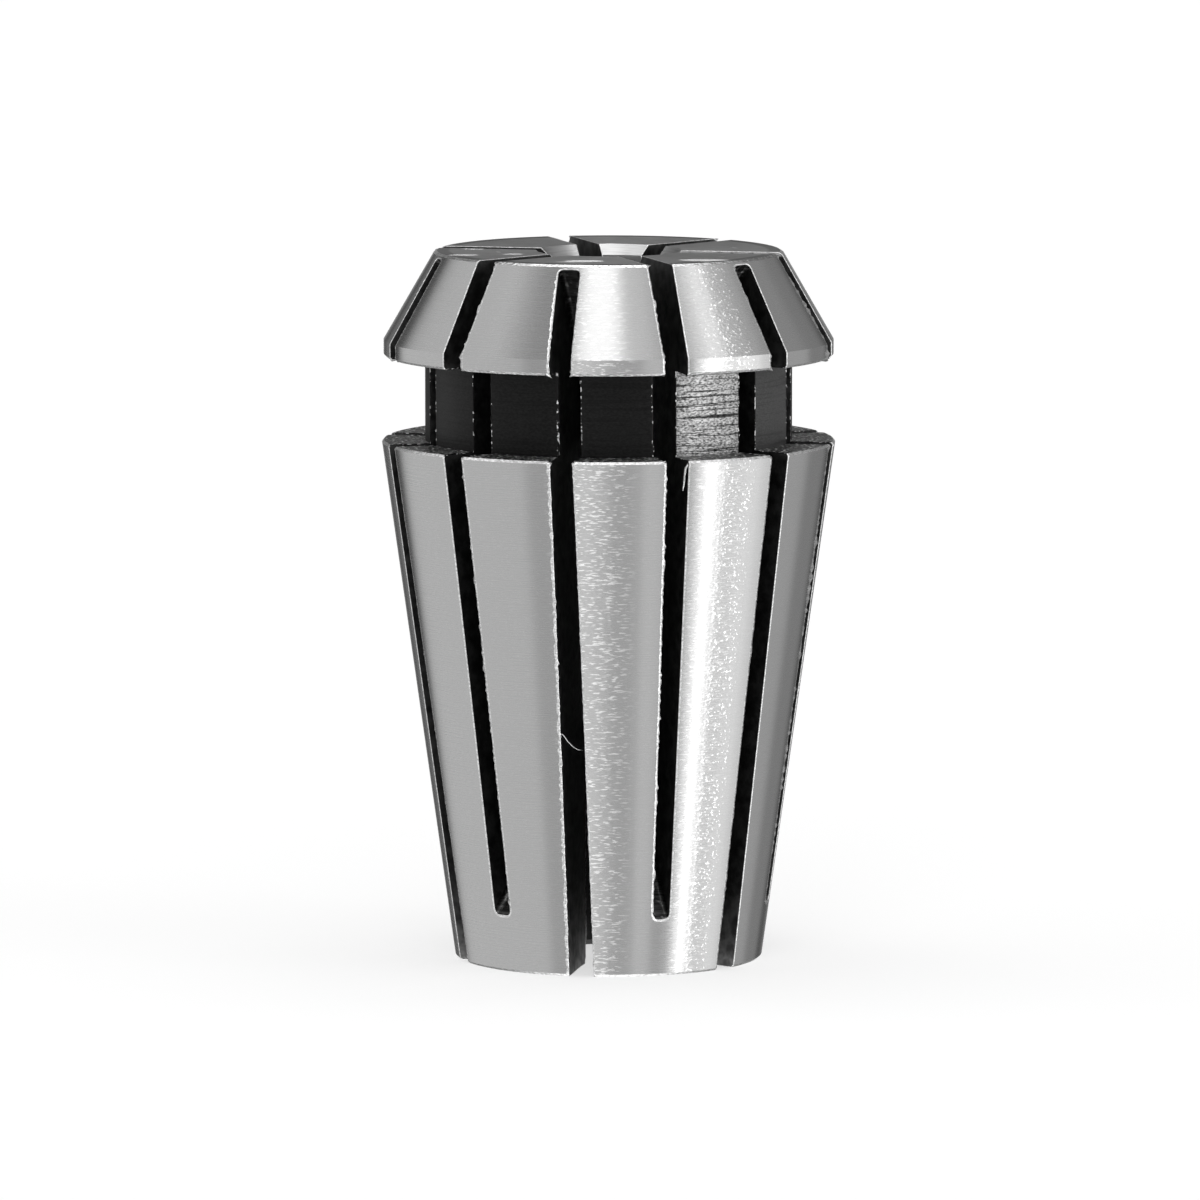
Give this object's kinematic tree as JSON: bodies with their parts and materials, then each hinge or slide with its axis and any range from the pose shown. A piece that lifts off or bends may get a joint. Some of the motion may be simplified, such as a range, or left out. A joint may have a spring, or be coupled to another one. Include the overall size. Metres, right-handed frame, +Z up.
{
  "type": "er collet",
  "caption": "Slotted spring collet: a long taper, an extraction groove and a short nose cone round a straight bore that closes on a tool shank.",
  "frame": {"origin": "centre of the small rear face", "axes": "+Z up the bore axis, from the rear face to the nose; +X through the middle of a jaw, between a slot from the rear and one from the nose"},
  "size_m": [0.0114, 0.0114, 0.018],
  "materials": {
    "ground_steel": "hardened and ground, fine lines round the axis"
  },
  "bodies": {
    "root": {"collet": "ground_steel"}
  },
  "joints": []
}
